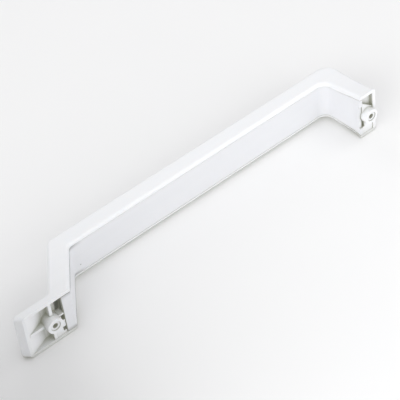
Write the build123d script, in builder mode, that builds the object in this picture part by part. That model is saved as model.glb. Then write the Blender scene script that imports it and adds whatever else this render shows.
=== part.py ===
from build123d import *
import math
import os

os.makedirs("parts", exist_ok=True)

# Door handle for a microwave oven, lying on its side face.
# X runs along the handle, with the long foot at -X. The feet stand on the door in the plane Y = 0,
# with the door on the -Y side and the bar on the +Y side. Z runs across the width.
# The origin is midway between the two screw holes, in the mounting plane and at half the width.
# All sizes are in millimetres.

# Overall sizes
hole_spacing = 254.0
projection = 43.5
bar_depth = 12.5
bar_width = 29.5
foot_flare = 2.75
flare_rise = 2.5

# Long foot, measured from the axis of its screw hole
tail_reach = 21.9
tail_depth = 6.4
long_foot_inner = 15.6
nose_round = 3.2
nose_chamfer = 3.4

# Long leg, which leans outwards from the bar to the foot
long_leg_angle = 35.0
long_leg_depth = 13.3
long_neck_radius = 3.5
long_outer_radius = 4.5
long_inner_radius = 4.0

# Short foot and short leg, measured from the axis of the screw hole
short_foot_inner = 6.6
short_foot_outer = 6.9
short_foot_height = 6.0
short_bend_radius = 8.0
short_leg_lean = 2.6
short_outer_draft = 1.0
short_outer_radius = 10.0
short_inner_radius = 6.5

# Moulded walls and edge roundings of the shell
wall = 2.4
edge_radius = 2.2
edge_land = 1.0
tray_floor = 1.6
tray_end_wall = 5.2
tray_ramp = 13.0

# Inner cover, which lies between the side walls and closes the channel
cover_thickness = 2.0
cover_gap = 0.35
cover_edge_radius = 0.3
pad_length = 6.6
short_notch_depth = 1.2
short_notch_width = 18.0

# Screw bosses with blind pilot holes
boss_diameter = 10.6
boss_proud = 3.7
pilot_diameter = 3.6
long_pilot_depth = 8.2
short_pilot_depth = 12.0
recess_diameter = 6.8
recess_depth = 0.6
boss_gap = 0.3

# Ribs and webs moulded into the shell
rib_thickness = 2.0
rib_recess = 0.3
rib_root = 1.2
side_rib_offset = 0.5
thin_rib_thickness = 1.2
thin_rib_offset = 1.3
bar_rib_count = 6
bar_rib_margin = 22.0
corner_web_recess = 0.6
corner_web_depth = 2.4
corner_web_width = 6.5
corner_web_tab = 5.5
corner_web_step = 4.0
corner_web_ledge = 3.6
short_deck_depth = 2.6
short_pad_recess = 0.5
short_pocket_length = 4.2
short_pocket_slope = 7.7
short_slot_width = 1.6
short_slot_length = 5.2
short_slot_z = -6.5

# Values worked out from the sizes above
long_hole_x = -hole_spacing / 2
short_hole_x = hole_spacing / 2
finger_gap = projection - bar_depth
foot_width = bar_width + 2 * foot_flare
flare_top = finger_gap + flare_rise
flare_radius = (flare_top**2 + foot_flare**2) / (2 * foot_flare)
tail_x = long_hole_x - tail_reach
long_foot_x = long_hole_x + long_foot_inner
short_inner_x = short_hole_x - short_foot_inner
short_outer_x = short_hole_x + short_foot_outer
lean_slope = math.tan(math.radians(long_leg_angle))
lean_width = 1 / math.cos(math.radians(long_leg_angle))
reach = 2 * hole_spacing
foot_low = 2 * boss_proud
side_radius = min(edge_radius, tail_depth / 2 - edge_land)
tray_x = tail_x + tray_end_wall
long_boss_top = tail_depth - rib_root
long_rib_length = long_foot_inner - pad_length - cover_gap
short_boss_top = short_pilot_depth - boss_proud + rib_thickness
short_web_x = short_inner_x + cover_thickness + cover_gap
short_web_width = short_outer_x - rib_root - short_web_x
pocket_z = foot_width / 2 - wall - short_pocket_length
rib_bottom = finger_gap + cover_thickness
rib_height = bar_depth - cover_thickness - rib_root
bar_rib_start = long_foot_x + finger_gap * lean_slope + bar_rib_margin
bar_rib_pitch = (short_inner_x - bar_rib_margin - bar_rib_start) / (bar_rib_count - 1)


def long_inner_line(y, inset):
    # X of the long leg's hand side at height y, moved into the leg by the inset
    return long_foot_x + y * lean_slope - inset * lean_width


def long_outer_line(y, inset):
    # X of the long leg's outer side at height y, moved into the leg by the inset
    return long_foot_x - (long_leg_depth - inset) * lean_width + y * lean_slope


def short_inner_line(y, inset):
    # X of the short leg's hand side above its foot, moved into the leg by the inset
    rise = (y - short_foot_height) / (finger_gap - short_foot_height)
    return short_inner_x - short_leg_lean * rise + inset


def short_outer_line(y, inset):
    # X of the short leg's outer side, moved into the leg by the inset
    return short_outer_x - short_outer_draft * y / projection - inset


def round_corner(sketch, x, y, radius):
    # Rounds the sketch corner nearest to a point
    fillet(sketch.vertices().sort_by_distance((x, y, 0))[0], radius)


def waist_outline(inset):
    # Section across the handle: parallel along the bar, flaring in an arc down to the feet
    bar_half = bar_width / 2 - inset
    foot_half = foot_width / 2 - inset
    low = -2 * boss_proud
    high = projection + bar_depth
    with BuildLine() as outline:
        Line((high, -bar_half), (high, bar_half))
        Line((high, bar_half), (flare_top, bar_half))
        RadiusArc((flare_top, bar_half), (0, foot_half), flare_radius)
        Line((0, foot_half), (low, foot_half))
        Line((low, foot_half), (low, -foot_half))
        Line((low, -foot_half), (0, -foot_half))
        RadiusArc((0, -foot_half), (flare_top, -bar_half), flare_radius)
        Line((flare_top, -bar_half), (high, -bar_half))
    return outline.edges()


def channel_outline(outer, inner, low):
    # Side view of the handle's body between the two insets, from the height low up
    with BuildLine() as outline:
        Polyline(
            (long_inner_line(low, inner), low),
            (long_inner_line(finger_gap + inner, inner), finger_gap + inner),
            (short_inner_line(finger_gap, inner), finger_gap + inner),
            (short_inner_line(short_foot_height, inner), short_foot_height),
            (short_inner_x + inner, low),
            (short_outer_line(low, outer), low),
            (short_outer_line(projection, outer), projection - outer),
            (long_outer_line(projection - outer, outer), projection - outer),
            (long_outer_line(low, outer), low),
            close=True,
        )
    return outline.edges()


def channel_corners(sketch, outer, inner):
    # Rounds the corners of a channel face, tighter or wider by the insets
    round_corner(sketch, long_inner_line(finger_gap, inner), finger_gap + inner, long_inner_radius + inner)
    round_corner(sketch, short_inner_line(finger_gap, inner), finger_gap + inner, short_inner_radius + inner)
    round_corner(sketch, short_inner_x + inner, short_foot_height, short_bend_radius)
    round_corner(sketch, short_outer_line(projection, outer), projection - outer, short_outer_radius - outer)
    round_corner(
        sketch, long_outer_line(projection, outer), projection - outer, long_outer_radius - outer
    )


def half_width(y):
    # Half of the handle's width at height y above the door
    below = max(flare_top - y, 0)
    return bar_width / 2 + flare_radius - math.sqrt(flare_radius**2 - below**2)


def on_side(edge):
    # True for an edge between a side face and the outline, above the mounting plane
    middle = edge @ 0.5
    on_width = abs(abs(middle.Z) - half_width(middle.Y)) < cover_gap
    flare_start = abs((edge @ 0).Y - flare_top) < cover_gap and abs((edge @ 1).Y - flare_top) < cover_gap
    return middle.Y > cover_gap and on_width and not flare_start


def on_cover_side(edge):
    # True for an edge along the cover's side, on the hand side or in the mounting plane
    middle = edge @ 0.5
    on_width = abs(abs(middle.Z) - half_width(middle.Y) + wall + cover_gap) < cover_gap / 2
    left = long_inner_line(middle.Y, cover_gap)
    on_hand = middle.Y < finger_gap + cover_gap and left < middle.X < short_inner_x + cover_gap
    return on_width and on_hand


# Hollow inside the shell: the channel under the bar, the legs and the tray of the long foot
with BuildPart() as hollow:
    with BuildSketch(Plane.XY) as channel_view:
        make_face(channel_outline(wall, -wall, -foot_low))
        channel_corners(channel_view, wall, -wall)
        with BuildLine():
            Polyline(
                (tray_x, -foot_low),
                (tray_x, 0),
                (tray_x + tray_ramp, tail_depth - tray_floor),
                (long_outer_line(tail_depth, wall) + wall, tail_depth - tray_floor),
                (long_outer_line(tail_depth, wall) + wall, -foot_low),
                close=True,
            )
        make_face()
    extrude(amount=foot_width, both=True)
    with BuildSketch(Plane.YZ):
        make_face(waist_outline(wall))
    extrude(amount=reach, both=True, mode=Mode.INTERSECT)

# Outer shell: the waisted outer form with rounded edges, hollowed from the door and hand side
with BuildPart() as outer_shell:
    with BuildSketch(Plane.XY) as side_view:
        make_face(channel_outline(0, 0, 0))
        with BuildLine():
            Polyline(
                (long_foot_x, 0),
                (tail_x + nose_chamfer, 0),
                (tail_x, tail_depth - nose_round),
            )
            RadiusArc((tail_x, tail_depth - nose_round), (tail_x + nose_round, tail_depth), nose_round)
            Polyline(
                (tail_x + nose_round, tail_depth),
                (long_outer_line(tail_depth, 0), tail_depth),
                (long_foot_x, 0),
            )
        make_face()
        channel_corners(side_view, 0, 0)
        round_corner(side_view, long_outer_line(tail_depth, 0), tail_depth, long_neck_radius)
    extrude(amount=foot_width, both=True)
    with BuildSketch(Plane.YZ):
        make_face(waist_outline(0))
    extrude(amount=reach, both=True, mode=Mode.INTERSECT)
    fillet(outer_shell.edges().filter_by(on_side), side_radius)
    add(hollow.part, mode=Mode.SUBTRACT)

    # Cross ribs in the bar, which carry the cover on their edges
    with BuildSketch(Plane.XY):
        for number in range(bar_rib_count):
            with Locations((bar_rib_start + number * bar_rib_pitch, rib_bottom)):
                Rectangle(rib_thickness, rib_height, align=(Align.CENTER, Align.MIN))
    extrude(amount=bar_width / 2 - rib_root, both=True)

    # Boss of the long foot and its four ribs
    with BuildSketch(Plane.XZ.offset(boss_proud)):
        with Locations((long_hole_x, 0)):
            Circle(boss_diameter / 2)
    extrude(amount=-(boss_proud + long_boss_top))
    with BuildSketch(Plane.XZ.offset(-rib_recess)):
        with Locations((long_hole_x + side_rib_offset, 0)):
            Rectangle(rib_thickness, foot_width - 2 * rib_root)
        with Locations((tray_x + rib_root, 0)):
            Rectangle(long_hole_x - tray_x - rib_root, rib_thickness, align=(Align.MIN, Align.CENTER))
        with Locations((long_hole_x, thin_rib_offset)):
            Rectangle(long_rib_length, thin_rib_thickness, align=(Align.MIN, Align.CENTER))
    extrude(amount=-(long_boss_top - rib_recess))

    # Web that fills the corner between two ribs of the long foot, with a tab and a ledge up to the cover
    with BuildSketch(Plane.XZ.offset(-corner_web_recess)):
        with Locations((long_hole_x, -foot_width / 2 + rib_root)):
            Rectangle(corner_web_width, foot_width / 2 - rib_root, align=(Align.MIN, Align.MIN))
        with Locations((long_hole_x, -corner_web_step)):
            Rectangle(long_rib_length, corner_web_tab, align=(Align.MIN, Align.MAX))
        with Locations((long_hole_x, rib_root - foot_width / 2)):
            Rectangle(long_rib_length, corner_web_ledge, align=(Align.MIN, Align.MIN))
    extrude(amount=-corner_web_depth)

    # Deck across the short foot, raised to a pad round the boss and left low in one corner
    with BuildSketch(Plane.XZ.offset(-short_deck_depth)):
        with Locations((short_web_x, 0)):
            Rectangle(short_web_width, foot_width - 2 * rib_root, align=(Align.MIN, Align.CENTER))
    extrude(amount=-rib_thickness)
    with BuildSketch(Plane.XZ.offset(-short_pad_recess)):
        with BuildLine():
            Polyline(
                (short_web_x, rib_root - foot_width / 2),
                (short_web_x + short_web_width, rib_root - foot_width / 2),
                (short_web_x + short_web_width, pocket_z - short_pocket_slope),
                (short_web_x, pocket_z),
                close=True,
            )
        make_face()
    extrude(amount=short_pad_recess - short_deck_depth)

    # Slot through pad and deck beside the cover
    with BuildSketch(Plane.XZ):
        with Locations((short_web_x, short_slot_z)):
            Rectangle(2 * short_slot_width, short_slot_length)
    extrude(amount=-(short_deck_depth + 2 * rib_thickness), mode=Mode.SUBTRACT)

    # Boss of the short foot, moulded against the outer wall
    with BuildSketch(Plane.XZ.offset(boss_proud)):
        with Locations((short_hole_x, 0)):
            Circle(boss_diameter / 2)
    extrude(amount=-(boss_proud + short_boss_top))

    # Pilot holes with a shallow recess round their mouths
    with BuildSketch(Plane.XZ.offset(boss_proud)):
        with Locations((long_hole_x, 0), (short_hole_x, 0)):
            Circle(recess_diameter / 2)
    extrude(amount=-recess_depth, mode=Mode.SUBTRACT)
    with BuildSketch(Plane.XZ.offset(boss_proud)):
        with Locations((long_hole_x, 0)):
            Circle(pilot_diameter / 2)
    extrude(amount=-long_pilot_depth, mode=Mode.SUBTRACT)
    with BuildSketch(Plane.XZ.offset(boss_proud)):
        with Locations((short_hole_x, 0)):
            Circle(pilot_diameter / 2)
    extrude(amount=-short_pilot_depth, mode=Mode.SUBTRACT)

# Inner cover: one strip along the hand side of both legs and the bar, with a flange in the long foot
with BuildPart() as inner_cover:
    with BuildSketch(Plane.XY) as cover_view:
        make_face(channel_outline(-wall, 0, 0))
        channel_corners(cover_view, 0, 0)
        with BuildSketch(mode=Mode.PRIVATE) as cover_inside:
            make_face(channel_outline(-2 * wall, cover_thickness, -foot_low))
            channel_corners(cover_inside, 0, cover_thickness)
        add(cover_inside.sketch, mode=Mode.SUBTRACT)
        with Locations((long_foot_x - pad_length, 0)):
            Rectangle(pad_length - cover_thickness, cover_thickness, align=(Align.MIN, Align.MIN))
    extrude(amount=foot_width, both=True)
    with BuildSketch(Plane.YZ):
        make_face(waist_outline(wall + cover_gap))
    extrude(amount=reach, both=True, mode=Mode.INTERSECT)

    fillet(inner_cover.edges().filter_by(on_cover_side), cover_edge_radius)

    # Notch in the short end and a groove that clears the boss
    with BuildSketch(Plane.XZ):
        with Locations((short_inner_x + cover_thickness / 2, 0)):
            Rectangle(2 * cover_thickness, short_notch_width)
    extrude(amount=-short_notch_depth, mode=Mode.SUBTRACT)
    with BuildSketch(Plane.XZ):
        with Locations((short_hole_x, 0)):
            Circle(boss_diameter / 2 + boss_gap)
    extrude(amount=-(short_boss_top + boss_gap), mode=Mode.SUBTRACT)

outer_shell.part.label = "outer_shell"
inner_cover.part.label = "inner_cover"
export_step(outer_shell.part, "parts/outer_shell.step")
export_step(inner_cover.part, "parts/inner_cover.step")
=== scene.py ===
# %% [markdown]
# A door handle for a microwave oven.
# The real handle is two mouldings of white plastic: a hollow shell that shows on the outside, and a
# strip that closes its channel on the side where the fingers go. Both are already exact solids in
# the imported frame, so this lesson keeps them where they are and works on what a solid cannot hold:
# the finish of the plastic, the small marks of moulding, the light and the camera.

import math

import bpy
import numpy as np
from mathutils import Matrix, Vector


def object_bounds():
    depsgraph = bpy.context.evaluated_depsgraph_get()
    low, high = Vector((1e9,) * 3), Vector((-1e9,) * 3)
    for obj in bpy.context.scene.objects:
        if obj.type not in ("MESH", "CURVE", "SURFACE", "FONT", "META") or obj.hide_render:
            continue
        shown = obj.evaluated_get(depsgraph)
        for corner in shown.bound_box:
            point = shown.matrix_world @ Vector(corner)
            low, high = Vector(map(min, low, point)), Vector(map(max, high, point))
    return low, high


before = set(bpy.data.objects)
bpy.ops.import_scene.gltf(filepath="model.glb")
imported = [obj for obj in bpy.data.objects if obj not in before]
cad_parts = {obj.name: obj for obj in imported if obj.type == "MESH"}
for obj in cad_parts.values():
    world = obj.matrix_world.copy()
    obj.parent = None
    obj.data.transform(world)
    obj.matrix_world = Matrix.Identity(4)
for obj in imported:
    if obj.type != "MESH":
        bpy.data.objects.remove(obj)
cad_low, cad_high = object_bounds()
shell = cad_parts["outer_shell"]
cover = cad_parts["inner_cover"]
MM = 0.001
print("handle size in mm:", [round((b - a) / MM, 1) for a, b in zip(cad_low, cad_high)])

# %% [markdown]
# Colours are written as the hex values that a screen shows. Blender's shaders count light, so one
# function turns each value from the screen's curve to linear light, and every material uses it.


# %% Colour helper
def linear(hex_colour):
    """Linear RGBA of a hex colour: c/12.92 where c is dark, else ((c + 0.055)/1.055) to the 2.4."""
    channels = np.array([int(hex_colour[i:i + 2], 16) for i in (1, 3, 5)]) / 255
    light = np.where(channels <= 0.04045, channels / 12.92, ((channels + 0.055) / 1.055) ** 2.4)
    return (*light.tolist(), 1.0)


print("pale grey in linear light:", [round(c, 3) for c in linear("#ECEEEE")])

# %% [markdown]
# A shader is a small graph. One helper adds a node, sets what is given as plain values, and links
# what is given as another node's output, so that a material reads as a list of its nodes.


# %% Node helper
def add_node(tree, kind, properties=None, **sockets):
    """Adds a node. A socket is named with _ for each space, or with _ and its number, and is given a
    value, or (node, output) to link."""
    node = tree.nodes.new(kind)
    for name, value in (properties or {}).items():
        setattr(node, name, value)
    for name, value in sockets.items():
        socket = node.inputs[int(name[1:]) if name[1:].isdigit() else name.replace("_", " ")]
        if isinstance(value, tuple) and isinstance(value[0], bpy.types.Node):
            tree.links.new(value[0].outputs[value[1]], socket)
        else:
            socket.default_value = value
    return node


# %% [markdown]
# The handle is ABS, injection moulded in white. ABS is a hard, opaque plastic, and a polished steel
# mould gives it a smooth skin with a soft gloss. Three things keep it from looking like paint: a
# very fine grain from the steel, slow waves of about two centimetres where the plastic shrank over
# its ribs, and faint streaks along the flow. All of them are worked out from real sizes with noise
# on object coordinates, so nothing slides or stretches.
# The colour comes first: two close whites, mixed by noise that is drawn out along the handle, the
# way the plastic flowed. Deep corners are painted darker and warmer: painted shade for the light
# that reaches them only after several bounces. Ambient occlusion finds them: it tells how open the
# surface is within about a centimetre. The painted shade is full at the feet by the door and weakens to a
# quarter towards the bar.


# %% Colour of the moulded skin
FLOW_WIDTH, FLOW_STRETCH = 5.0 * MM, 0.12
STREAK_LOW, STREAK_HIGH = 0.35, 0.65
CORNER_REACH = 9.0 * MM
CORNER_DEEP, CORNER_OPEN = 0.2, 0.92
FEET_REACH, SHADE_FADED_BY, SHADE_LEFT_ON_BAR = 8.0 * MM, 20.0 * MM, 0.25


def corner_depth(tree):
    """A smooth step of the openness within CORNER_REACH: 1 in a deep corner, 0 on an open face."""
    openness = add_node(tree, "ShaderNodeAmbientOcclusion", {"samples": 8}, Distance=CORNER_REACH)
    return add_node(tree, "ShaderNodeMapRange", {"interpolation_type": "SMOOTHSTEP"},
                    Value=(openness, "AO"), From_Min=CORNER_DEEP, From_Max=CORNER_OPEN,
                    To_Min=1.0, To_Max=0.0)


def skin_colour(tree, place, depth, body_hex, streak_hex, painted_shade_hex):
    """Two whites mixed by streaks along X, and over them a painted shade grey times the corner's depth,
    weaker towards the bar.
    """
    stretch = add_node(tree, "ShaderNodeMapping", Vector=(place, "Object"),
                       Scale=(FLOW_STRETCH, 1.0, 1.0))
    flow = add_node(tree, "ShaderNodeTexNoise", Vector=(stretch, "Vector"),
                    Scale=1 / FLOW_WIDTH, Detail=2.0, Roughness=0.5)
    streaks = add_node(tree, "ShaderNodeMapRange", Value=(flow, "Fac"),
                       From_Min=STREAK_LOW, From_Max=STREAK_HIGH, To_Min=0.0, To_Max=1.0)
    body = add_node(tree, "ShaderNodeMix", {"data_type": "RGBA"}, _0=(streaks, "Result"),
                    _6=linear(body_hex), _7=linear(streak_hex))
    axes = add_node(tree, "ShaderNodeSeparateXYZ", Vector=(place, "Object"))
    # Painted shade: the corner grey is full near the feet and falls to SHADE_LEFT_ON_BAR towards the bar.
    shade_share_along_y = add_node(tree, "ShaderNodeMapRange", Value=(axes, "Y"),
                       From_Min=FEET_REACH, From_Max=SHADE_FADED_BY, To_Min=1.0, To_Max=SHADE_LEFT_ON_BAR)
    painted_corner_shade = add_node(tree, "ShaderNodeMath", {"operation": "MULTIPLY"},
                     _0=(depth, "Result"), _1=(shade_share_along_y, "Result"))
    return add_node(tree, "ShaderNodeMix", {"data_type": "RGBA"}, _0=(painted_corner_shade, "Value"),
                    _6=(body, 2), _7=linear(painted_shade_hex))


# Prints the reach of the painted corner shade and where it has weakened.
print("corners are felt within", CORNER_REACH / MM, "mm, grime fades by", SHADE_FADED_BY / MM, "mm")

# %% [markdown]
# The relief is what the eye finds in the highlights: grain a hundredth of a millimetre deep, and
# over it the waves, a tenth deep. Both are bumps, because neither can be seen on an edge. The grain
# is drawn coarser than that of real polished steel, so that it shows at all.


# %% Grain and waves
GRAIN_SIZE, GRAIN_DEPTH, GRAIN_SHOW = 0.35 * MM, 0.01 * MM, 0.15
WAVE_DEPTH, WAVE_SHOW = 0.12 * MM, 0.3


def skin_relief(tree, place, waves):
    """A bump of fine grain, and on its normals a bump of slow waves."""
    grain = add_node(tree, "ShaderNodeTexNoise", Vector=(place, "Object"),
                     Scale=1 / GRAIN_SIZE, Detail=3.0, Roughness=0.6)
    fine = add_node(tree, "ShaderNodeBump", Strength=GRAIN_SHOW, Distance=GRAIN_DEPTH,
                    Height=(grain, "Fac"))
    return add_node(tree, "ShaderNodeBump", Strength=WAVE_SHOW, Distance=WAVE_DEPTH,
                    Height=(waves, "Fac"), Normal=(fine, "Normal"))


print("grain of", GRAIN_SIZE / MM, "mm, waves", WAVE_DEPTH / MM, "mm deep")

# %% [markdown]
# The whole material puts the two together. ABS bends light by 1.54. The waves also change the gloss
# a little from place to place. Light enters white plastic and comes out a millimetre further on,
# which is what subsurface scattering does. The walls are thin, so some light soaks through into the
# hollows too. Following it through every wall would be slow and noisy, and a faint warm glow painted
# into the corners stands in for it. The cover is a second moulding and less glossy; its whites are
# painted a shade greyer, as painted shade for the hand side, which the lamps light less than the top.


# %% Moulded ABS
ABS_IOR = 1.54
GLOSS_LOW, GLOSS_HIGH, GLOSS_SPREAD = 0.3, 0.7, 0.06
SOAKED_LIGHT, SOAKED_TINT = 0.13, "#C4C5AE"
SKIN_SHARE, SKIN_DEPTH, SKIN_REACH = 0.15, 1.2 * MM, (1.0, 0.9, 0.8)


def moulded_abs(name, body_hex, streak_hex, painted_shade_hex, roughness, wave_size):
    """Glossy opaque plastic: skin colour and relief, gloss varied by the waves from roughness up to
    roughness + GLOSS_SPREAD, and a glow of SOAKED_LIGHT times the depth of the corner."""
    material = bpy.data.materials.new(name)
    material.use_nodes = True
    tree = material.node_tree
    tree.nodes.clear()
    place = add_node(tree, "ShaderNodeTexCoord")
    waves = add_node(tree, "ShaderNodeTexNoise", Vector=(place, "Object"),
                     Scale=1 / wave_size, Detail=2.0, Roughness=0.45)
    depth = corner_depth(tree)
    skin = skin_colour(tree, place, depth, body_hex, streak_hex, painted_shade_hex)
    gloss = add_node(tree, "ShaderNodeMapRange", Value=(waves, "Fac"),
                     From_Min=GLOSS_LOW, From_Max=GLOSS_HIGH,
                     To_Min=roughness, To_Max=roughness + GLOSS_SPREAD)
    soak = add_node(tree, "ShaderNodeMath", {"operation": "MULTIPLY"},
                    _0=(depth, "Result"), _1=SOAKED_LIGHT)
    surface = add_node(tree, "ShaderNodeBsdfPrincipled", Base_Color=(skin, 2), Metallic=0.0,
                       Roughness=(gloss, "Result"), IOR=ABS_IOR,
                       Normal=(skin_relief(tree, place, waves), "Normal"),
                       Subsurface_Weight=SKIN_SHARE, Subsurface_Radius=SKIN_REACH,
                       Subsurface_Scale=SKIN_DEPTH,
                       Emission_Color=linear(SOAKED_TINT), Emission_Strength=(soak, "Value"))
    add_node(tree, "ShaderNodeOutputMaterial", Surface=(surface, "BSDF"))
    print("material", name, "with", len(tree.nodes), "nodes")
    return material


# The third colour of each material is the grey of the painted corner shade.
shell_abs = moulded_abs("moulded_abs_shell", "#F1F2F4", "#F0F1F3", "#8E8F84", 0.36, 26 * MM)
# The cover's darker whites are painted shade for the hand side.
cover_abs = moulded_abs("moulded_abs_cover", "#E6E7EA", "#E5E6E9", "#9A9B90", 0.38, 18 * MM)

# %% [markdown]
# A dark grey line is painted where the cover meets the wall of the shell: painted shade, for the
# shade inside the narrow seam. The cover's edge follows the waist of the handle, which is an arc: its
# half width is 14.75 mm, and below a depth of 33.5 mm it grows by (33.5 - y) squared over twice the
# radius of 205.4 mm. The shader works out how far a point lies inside that edge, and the painted
# shade fades over 3 mm from there. The line is strong on the leaning leg, almost gone on the bar, and
# weaker at the foot's very end. A shade has no thickness, so a shader holds it rather than a strip.


# %% Painted seam shade
WAIST_HALF, WAIST_DEPTH, WAIST_RADIUS, EDGE_INSET = 14.75 * MM, 33.5 * MM, 205.4 * MM, 2.75 * MM
SEAM_SHADE_WIDTH = 3.0 * MM
LEG_SHADE_TO, BAR_SHADE_FROM, BAR_SHADE_SHARE = -98.0 * MM, -80.0 * MM, 0.02
FOOT_END, LEG_FROM, FOOT_SHADE_SHARE = 1.0 * MM, 5.0 * MM, 0.35


def inside_edge(tree, axes):
    """Distance inside the cover's edge: half width + (depth - y)^2 / (2 * radius) - inset - |z|."""
    drop = add_node(tree, "ShaderNodeMath", {"operation": "SUBTRACT"}, _0=WAIST_DEPTH, _1=(axes, "Y"))
    below = add_node(tree, "ShaderNodeMath", {"operation": "MAXIMUM"}, _0=(drop, 0), _1=0.0)
    squared = add_node(tree, "ShaderNodeMath", {"operation": "MULTIPLY"}, _0=(below, 0), _1=(below, 0))
    flare = add_node(tree, "ShaderNodeMath", {"operation": "MULTIPLY"},
                     _0=(squared, 0), _1=0.5 / WAIST_RADIUS)
    edge = add_node(tree, "ShaderNodeMath", {"operation": "ADD"},
                    _0=(flare, 0), _1=WAIST_HALF - EDGE_INSET)
    aside = add_node(tree, "ShaderNodeMath", {"operation": "ABSOLUTE"}, _0=(axes, "Z"))
    return add_node(tree, "ShaderNodeMath", {"operation": "SUBTRACT"}, _0=(edge, 0), _1=(aside, 0))


def seam_painted_shade(tree, place):
    """Share of painted seam shade: 1 at the edge and 0 from SEAM_SHADE_WIDTH inside it, times its share
    along the bar, times its share at the foot's end."""
    axes = add_node(tree, "ShaderNodeSeparateXYZ", Vector=(place, "Object"))
    line = add_node(tree, "ShaderNodeMapRange", {"interpolation_type": "SMOOTHSTEP"},
                    Value=(inside_edge(tree, axes), 0), From_Min=0.0, From_Max=SEAM_SHADE_WIDTH,
                    To_Min=1.0, To_Max=0.0)
    along = add_node(tree, "ShaderNodeMapRange", Value=(axes, "X"),
                     From_Min=LEG_SHADE_TO, From_Max=BAR_SHADE_FROM, To_Min=1.0, To_Max=BAR_SHADE_SHARE)
    foot = add_node(tree, "ShaderNodeMapRange", Value=(axes, "Y"),
                    From_Min=FOOT_END, From_Max=LEG_FROM, To_Min=FOOT_SHADE_SHARE, To_Max=1.0)
    left = add_node(tree, "ShaderNodeMath", {"operation": "MULTIPLY"},
                    _0=(along, "Result"), _1=(foot, "Result"))
    return add_node(tree, "ShaderNodeMath", {"operation": "MULTIPLY"},
                    _0=(line, "Result"), _1=(left, 0))


# The width printed here is that of the painted seam shade.
print("seam dust fades over", SEAM_SHADE_WIDTH / MM, "mm")

# %% [markdown]
# One tiny mark of the mould on the hand side is a soft dot around its place. It is flat, so it needs
# no mesh. The painted seam shade and the mark are mixed over the colour that the cover's plastic already
# has.


# %% Mould mark, and both laid on the cover
MARK_PLACE = (-84.2 * MM, 31.0 * MM, -6.2 * MM)
MARK_CORE, MARK_RIM = 0.15 * MM, 0.55 * MM


def mould_mark(tree, place):
    """1 within MARK_CORE of the mark's place, falling evenly to 0 at MARK_RIM."""
    away = add_node(tree, "ShaderNodeVectorMath", {"operation": "DISTANCE"},
                    _0=(place, "Object"), _1=MARK_PLACE)
    return add_node(tree, "ShaderNodeMapRange", Value=(away, "Value"),
                    From_Min=MARK_CORE, From_Max=MARK_RIM, To_Min=1.0, To_Max=0.0)


def shade_seam_and_mark(material, seam_shade_hex, mark_hex):
    """Mixes the painted seam shade, then the mark, over the base colour of a moulded plastic."""
    tree = material.node_tree
    surface = tree.nodes["Principled BSDF"]
    clean = surface.inputs["Base Color"].links[0].from_node
    place = add_node(tree, "ShaderNodeTexCoord")
    seam_shaded = add_node(tree, "ShaderNodeMix", {"data_type": "RGBA"},
                     _0=(seam_painted_shade(tree, place), 0), _6=(clean, 2), _7=linear(seam_shade_hex))
    marked = add_node(tree, "ShaderNodeMix", {"data_type": "RGBA"},
                      _0=(mould_mark(tree, place), "Result"), _6=(seam_shaded, 2), _7=linear(mark_hex))
    tree.links.new(marked.outputs[2], surface.inputs["Base Color"])
    print("material", material.name, "now has", len(tree.nodes), "nodes")


# The dark grey is painted seam shade; the pale grey is the mould mark.
shade_seam_and_mark(cover_abs, "#3E3F44", "#84857F")
print("mark at", [round(v / MM, 1) for v in MARK_PLACE], "mm")

# %% [markdown]
# Each solid now wears its own plastic. The pack gave them plain colours, which are taken off first,
# and the solids themselves aren't touched.

# %% Dress the solids
for node, material in ((shell, shell_abs), (cover, cover_abs)):
    node.data.materials.clear()
    node.data.materials.append(material)
    print(node.name, "wears", material.name, "on", len(node.data.polygons), "triangles")

# %% [markdown]
# The handle lies on its side face on a sheet of pale card. Two things on the set are flat sheets, and
# one function computes both as grids of points.


# %% Flat sheet
def flat_sheet(name, centre, side, rise, half, lines):
    """A square grid: centre + u * side + v * rise, with u and v in even steps from -half to half."""
    u, v = np.meshgrid(np.linspace(-half, half, lines), np.linspace(-half, half, lines))
    points = np.array(centre) + u[..., None] * np.array(side) + v[..., None] * np.array(rise)
    index = np.arange(lines * lines).reshape(lines, lines)
    quads = np.stack([index[:-1, :-1], index[:-1, 1:], index[1:, 1:], index[1:, :-1]], axis=-1)
    mesh = bpy.data.meshes.new(name)
    mesh.from_pydata(points.reshape(-1, 3).tolist(), [], quads.reshape(-1, 4).tolist())
    sheet = bpy.data.objects.new(name, mesh)
    bpy.context.scene.collection.objects.link(sheet)
    print(name, "has", len(mesh.polygons), "squares")
    return sheet


# %% [markdown]
# Card and felt are both fibres without gloss, pressed in one and matted in the other. Their colour
# is never quite even, so two close shades are mixed by noise of the size of the mottle.


# %% Matt fibres
def matt_fibres(name, first_hex, second_hex, mottle_size, roughness):
    """A surface without gloss: two close shades mixed by noise on object coordinates."""
    material = bpy.data.materials.new(name)
    material.use_nodes = True
    tree = material.node_tree
    tree.nodes.clear()
    place = add_node(tree, "ShaderNodeTexCoord")
    mottle = add_node(tree, "ShaderNodeTexNoise", Vector=(place, "Object"), Scale=1 / mottle_size)
    shade = add_node(tree, "ShaderNodeMix", {"data_type": "RGBA"}, _0=(mottle, "Fac"),
                     _6=linear(first_hex), _7=linear(second_hex))
    surface = add_node(tree, "ShaderNodeBsdfPrincipled", Base_Color=(shade, 2), Roughness=roughness)
    add_node(tree, "ShaderNodeOutputMaterial", Surface=(surface, "BSDF"))
    print("material", name, "with", len(tree.nodes), "nodes")
    return material


# %% [markdown]
# The floor reaches far past what the camera sees, so that it has no horizon. It lies at the lowest
# point of the solids, which is where the handle's side face rests.

# %% Floor
FLOOR_Z = cad_low.z
FLOOR_HALF, FLOOR_LINES = 3.0, 25
CARD_MOTTLE = 60 * MM

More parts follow.
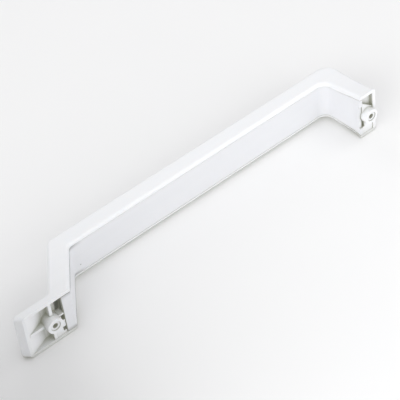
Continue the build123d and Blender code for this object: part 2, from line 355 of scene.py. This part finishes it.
floor = flat_sheet("floor", (0.0, 0.0, FLOOR_Z), (1.0, 0.0, 0.0), (0.0, 1.0, 0.0), FLOOR_HALF, FLOOR_LINES)
floor.data.materials.append(matt_fibres("matt_card_floor", "#F4F4F4", "#F3F3F3", CARD_MOTTLE, 0.9))
print("floor at z =", round(FLOOR_Z / MM, 2), "mm")

# %% [markdown]
# The light is that of a bright room and hardly throws a shadow. The room itself is even light from
# the world. Six soft boxes shape it, each a square lamp that is large for its distance: two wide
# ones stand far off, the strong one on the left to light the inner side of the short leg, the weaker
# one in front to light the bar's hand side. Four smaller and nearer ones set how the light falls
# off: in front of the short leg, over the right end, behind it, and over the left end.

# %% Room and soft boxes
ROOM_COLOUR, ROOM_LIGHT = "#FEFEFF", 0.575
world = bpy.data.worlds.new("bright_room")
bpy.context.scene.world = world
world.use_nodes = True
room = world.node_tree.nodes["Background"]
room.inputs["Color"].default_value = linear(ROOM_COLOUR)
room.inputs["Strength"].default_value = ROOM_LIGHT

# Each box: its place, the point it looks at, its side in metres, its power in watts.
SOFT_BOXES = {
    "box_far_left": ((-1.28, -0.46, 0.63), (0.0, 0.0, 0.0), 1.2, 13.0),
    "box_far_front": ((-0.24, -1.34, 0.63), (0.0, 0.0, 0.0), 1.2, 3.9),
    "box_front": ((0.22, -0.4, 0.25), (0.12, 0.0, 0.0), 0.3, 0.34),
    "box_right": ((0.5, -0.1, 0.6), (0.1, 0.0, 0.0), 0.4, 0.9),
    "box_behind": ((0.2, 0.45, 0.35), (0.1, 0.0, 0.0), 0.3, 0.27),
    "box_over_left": ((-0.35, 0.25, 0.7), (-0.1, 0.0, 0.0), 0.4, 0.3),
}


def soft_box(name, place, target, size, power):
    """A square area lamp at a place, turned to look at a target."""
    lamp = bpy.data.lights.new(name, "AREA")
    lamp.size = size
    lamp.energy = power
    holder = bpy.data.objects.new(name, lamp)
    holder.location = place
    holder.rotation_euler = (Vector(target) - Vector(place)).to_track_quat("-Z", "Y").to_euler()
    bpy.context.scene.collection.objects.link(holder)
    print(name, "at", place, "with", power, "W")


for name, values in SOFT_BOXES.items():
    soft_box(name, *values)
bpy.context.scene.view_settings.view_transform = "Standard"

# %% [markdown]
# The long foot lies in weaker light than the rest. A studio does that with a flag: a sheet of dark
# felt, here left of the foot, standing on the floor and out of the picture. It could be left to a
# weaker lamp, but every lamp reaches the whole handle, and a flag takes light from one end alone.
# The camera doesn't see it.

# %% Flag
FLAG_HALF, FLAG_LINES = 0.07, 9
FLAG_PLACE = (-0.25, -0.06, FLOOR_Z + FLAG_HALF)
FLAG_FACING = np.array((1.0, 0.4, 0.0))
FELT_MOTTLE = 2 * MM

facing = FLAG_FACING / np.linalg.norm(FLAG_FACING)
flag_side = np.cross((0.0, 0.0, 1.0), facing)
flag_side /= np.linalg.norm(flag_side)
flag = flat_sheet("dark_flag", FLAG_PLACE, flag_side, np.cross(facing, flag_side), FLAG_HALF, FLAG_LINES)
flag.data.materials.append(matt_fibres("dyed_felt_flag", "#404040", "#4C4C4C", FELT_MOTTLE, 0.95))
flag.visible_camera = False
print("flag stands at", [round(v, 2) for v in FLAG_PLACE])

# %% [markdown]
# The camera stands where the photographer stood: on the door side of the handle, to the left of it
# and above it, looking down at the feet, a little tilted. Its place comes from the direction it
# looks along and its distance to a point near the middle of the handle. Its focal length is 1580.5
# pixels where the picture is 400 pixels wide. It is used as a share of that width, so that it holds
# for a square picture of any size.

# %% Camera
VIEW_AZIMUTH, VIEW_ELEVATION, VIEW_ROLL = -34.66, 44.15, -7.47
VIEW_DISTANCE = 0.9875
VIEW_TARGET = Vector((0.0026, 0.0217, -0.0059))
FOCAL_PIXELS, PICTURE_PIXELS = 1580.5, 400
SENSOR_WIDTH = 36.0

azimuth, elevation, roll = (math.radians(v) for v in (VIEW_AZIMUTH, VIEW_ELEVATION, VIEW_ROLL))
back = Vector((math.sin(azimuth) * math.cos(elevation),
               -math.cos(azimuth) * math.cos(elevation),
               math.sin(elevation)))
level = Vector((math.cos(azimuth), math.sin(azimuth), 0.0))
upright = back.cross(level)
right = math.cos(roll) * level + math.sin(roll) * upright
up = -math.sin(roll) * level + math.cos(roll) * upright

camera_data = bpy.data.cameras.new("camera")
camera_data.sensor_width = SENSOR_WIDTH
camera_data.lens = FOCAL_PIXELS / PICTURE_PIXELS * SENSOR_WIDTH
camera = bpy.data.objects.new("camera", camera_data)
bpy.context.scene.collection.objects.link(camera)
turned = Matrix((right, up, back)).transposed().to_4x4()
camera.matrix_world = Matrix.Translation(VIEW_TARGET + VIEW_DISTANCE * back) @ turned
bpy.context.scene.camera = camera
print("camera at", [round(v, 3) for v in camera.matrix_world.translation],
      "with a lens of", round(camera_data.lens, 1), "mm")
